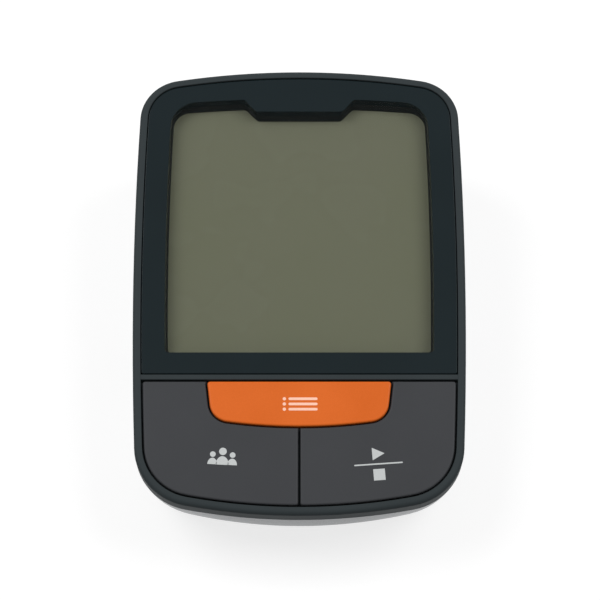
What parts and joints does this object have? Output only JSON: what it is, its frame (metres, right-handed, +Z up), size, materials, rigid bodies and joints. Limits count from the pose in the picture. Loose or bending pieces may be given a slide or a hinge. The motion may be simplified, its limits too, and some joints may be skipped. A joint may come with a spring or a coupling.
{
  "type": "digital blood pressure monitor",
  "caption": "Table-top upper-arm blood pressure monitor: a sloping face with a large display window over an orange memory key and user and start keys, with its pump and valve inside.",
  "frame": {"origin": "middle of the footprint's box, on the surface that the feet stand on", "axes": "+X to the user's right, +Y to the rear where the display end is, +Z up"},
  "size_m": [0.1002, 0.1418, 0.0482],
  "materials": {
    "housing_dark": "fine-textured moulded plastic, dark grey",
    "housing_silver": "silver-grey moulded plastic",
    "window_clear": "clear glossy acrylic",
    "window_print": "blue-black print behind the window",
    "display_glass": "grey-green liquid crystal display, blank",
    "reflector": "silver film",
    "key_dark": "satin moulded plastic, dark grey",
    "key_orange": "satin moulded plastic, orange",
    "black_plastic": "black moulded plastic",
    "cream_plastic": "natural moulded plastic",
    "tape": "white foam tape",
    "circuit_board": "green solder mask",
    "rubber_dark": "black rubber",
    "silicone": "milky silicone",
    "steel": "plated steel",
    "magnet": "sintered magnet",
    "brass": "plated brass",
    "copper": "enamelled copper wire",
    "cell_wrap": "printed film wrap, plain blue",
    "wire_red": "plastic-covered wire",
    "wire_dark": "plastic-covered wire"
  },
  "bodies": {
    "root": {"upper_housing": "housing_dark", "lower_housing": "housing_silver", "display_window": "window_clear", "window_border": "window_print", "window_tape": "tape", "display_frame": "black_plastic", "display_panel": "display_glass", "display_reflector": "reflector", "contact_strips": "rubber_dark", "switch_bodies": "steel", "main_board": "circuit_board", "board_chips": "black_plastic", "sounder": "black_plastic", "board_connectors": "cream_plastic", "pressure_sensor": "cream_plastic", "air_socket": "black_plastic", "power_jack": "black_plastic", "power_jack_pin": "brass", "motor_case": "steel", "motor_magnets": "magnet", "motor_end_cap": "cream_plastic", "pump_housing": "cream_plastic", "wobble_plate": "cream_plastic", "pump_diaphragm": "rubber_dark", "pump_cover": "cream_plastic", "pump_rings": "rubber_dark", "valve_base": "cream_plastic", "valve_frame": "steel", "valve_coil": "copper", "valve_spring": "steel", "air_manifold": "cream_plastic", "pump_hose": "silicone", "socket_hose": "silicone", "valve_hose": "silicone", "sensor_hose": "silicone", "cell_1": "cell_wrap", "cell_2": "cell_wrap", "cell_3": "cell_wrap", "cell_4": "cell_wrap", "cell_springs": "steel", "cell_contacts": "steel", "battery_wires": "wire_red", "motor_wires": "wire_red", "valve_wires": "wire_dark", "board_screws": "steel", "housing_screws": "steel", "rubber_feet": "rubber_dark"},
    "cover": {"battery_cover": "housing_silver"},
    "memory_button": {"memory_key": "key_orange", "memory_plunger": "black_plastic"},
    "user_button": {"user_key": "key_dark", "user_plunger": "black_plastic"},
    "start_button": {"start_key": "key_dark", "start_plunger": "black_plastic"},
    "rotor": {"motor_rotor": "copper", "pump_crank": "cream_plastic"},
    "valve_core": {"valve_plunger": "steel"}
  },
  "joints": [
    {"name": "memory_press", "type": "slide", "parent": "root", "child": "memory_button", "axis": [0, 0.1392, -0.9903], "range_m": [0, 0.0005], "stiffness_N_per_m": 2400, "springref_m": -0.0003},
    {"name": "user_press", "type": "slide", "parent": "root", "child": "user_button", "axis": [0, 0.1392, -0.9903], "range_m": [0, 0.0005], "stiffness_N_per_m": 2400, "springref_m": -0.0003},
    {"name": "start_press", "type": "slide", "parent": "root", "child": "start_button", "axis": [0, 0.1392, -0.9903], "range_m": [0, 0.0005], "stiffness_N_per_m": 2400, "springref_m": -0.0003},
    {"name": "cover_slide", "type": "slide", "parent": "root", "child": "cover", "axis": [0, 1, 0], "range_m": [0, 0.06]},
    {"name": "motor_spin", "type": "hinge", "parent": "root", "child": "rotor", "pos_m": [0, -0.0085, 0.0138], "axis": [1, 0, 0], "continuous": true},
    {"name": "valve_close", "type": "slide", "parent": "root", "child": "valve_core", "axis": [0, 0, -1], "range_m": [0, 0.0008], "stiffness_N_per_m": 150, "springref_m": -0.002, "deforming": ["valve_spring"]}
  ]
}
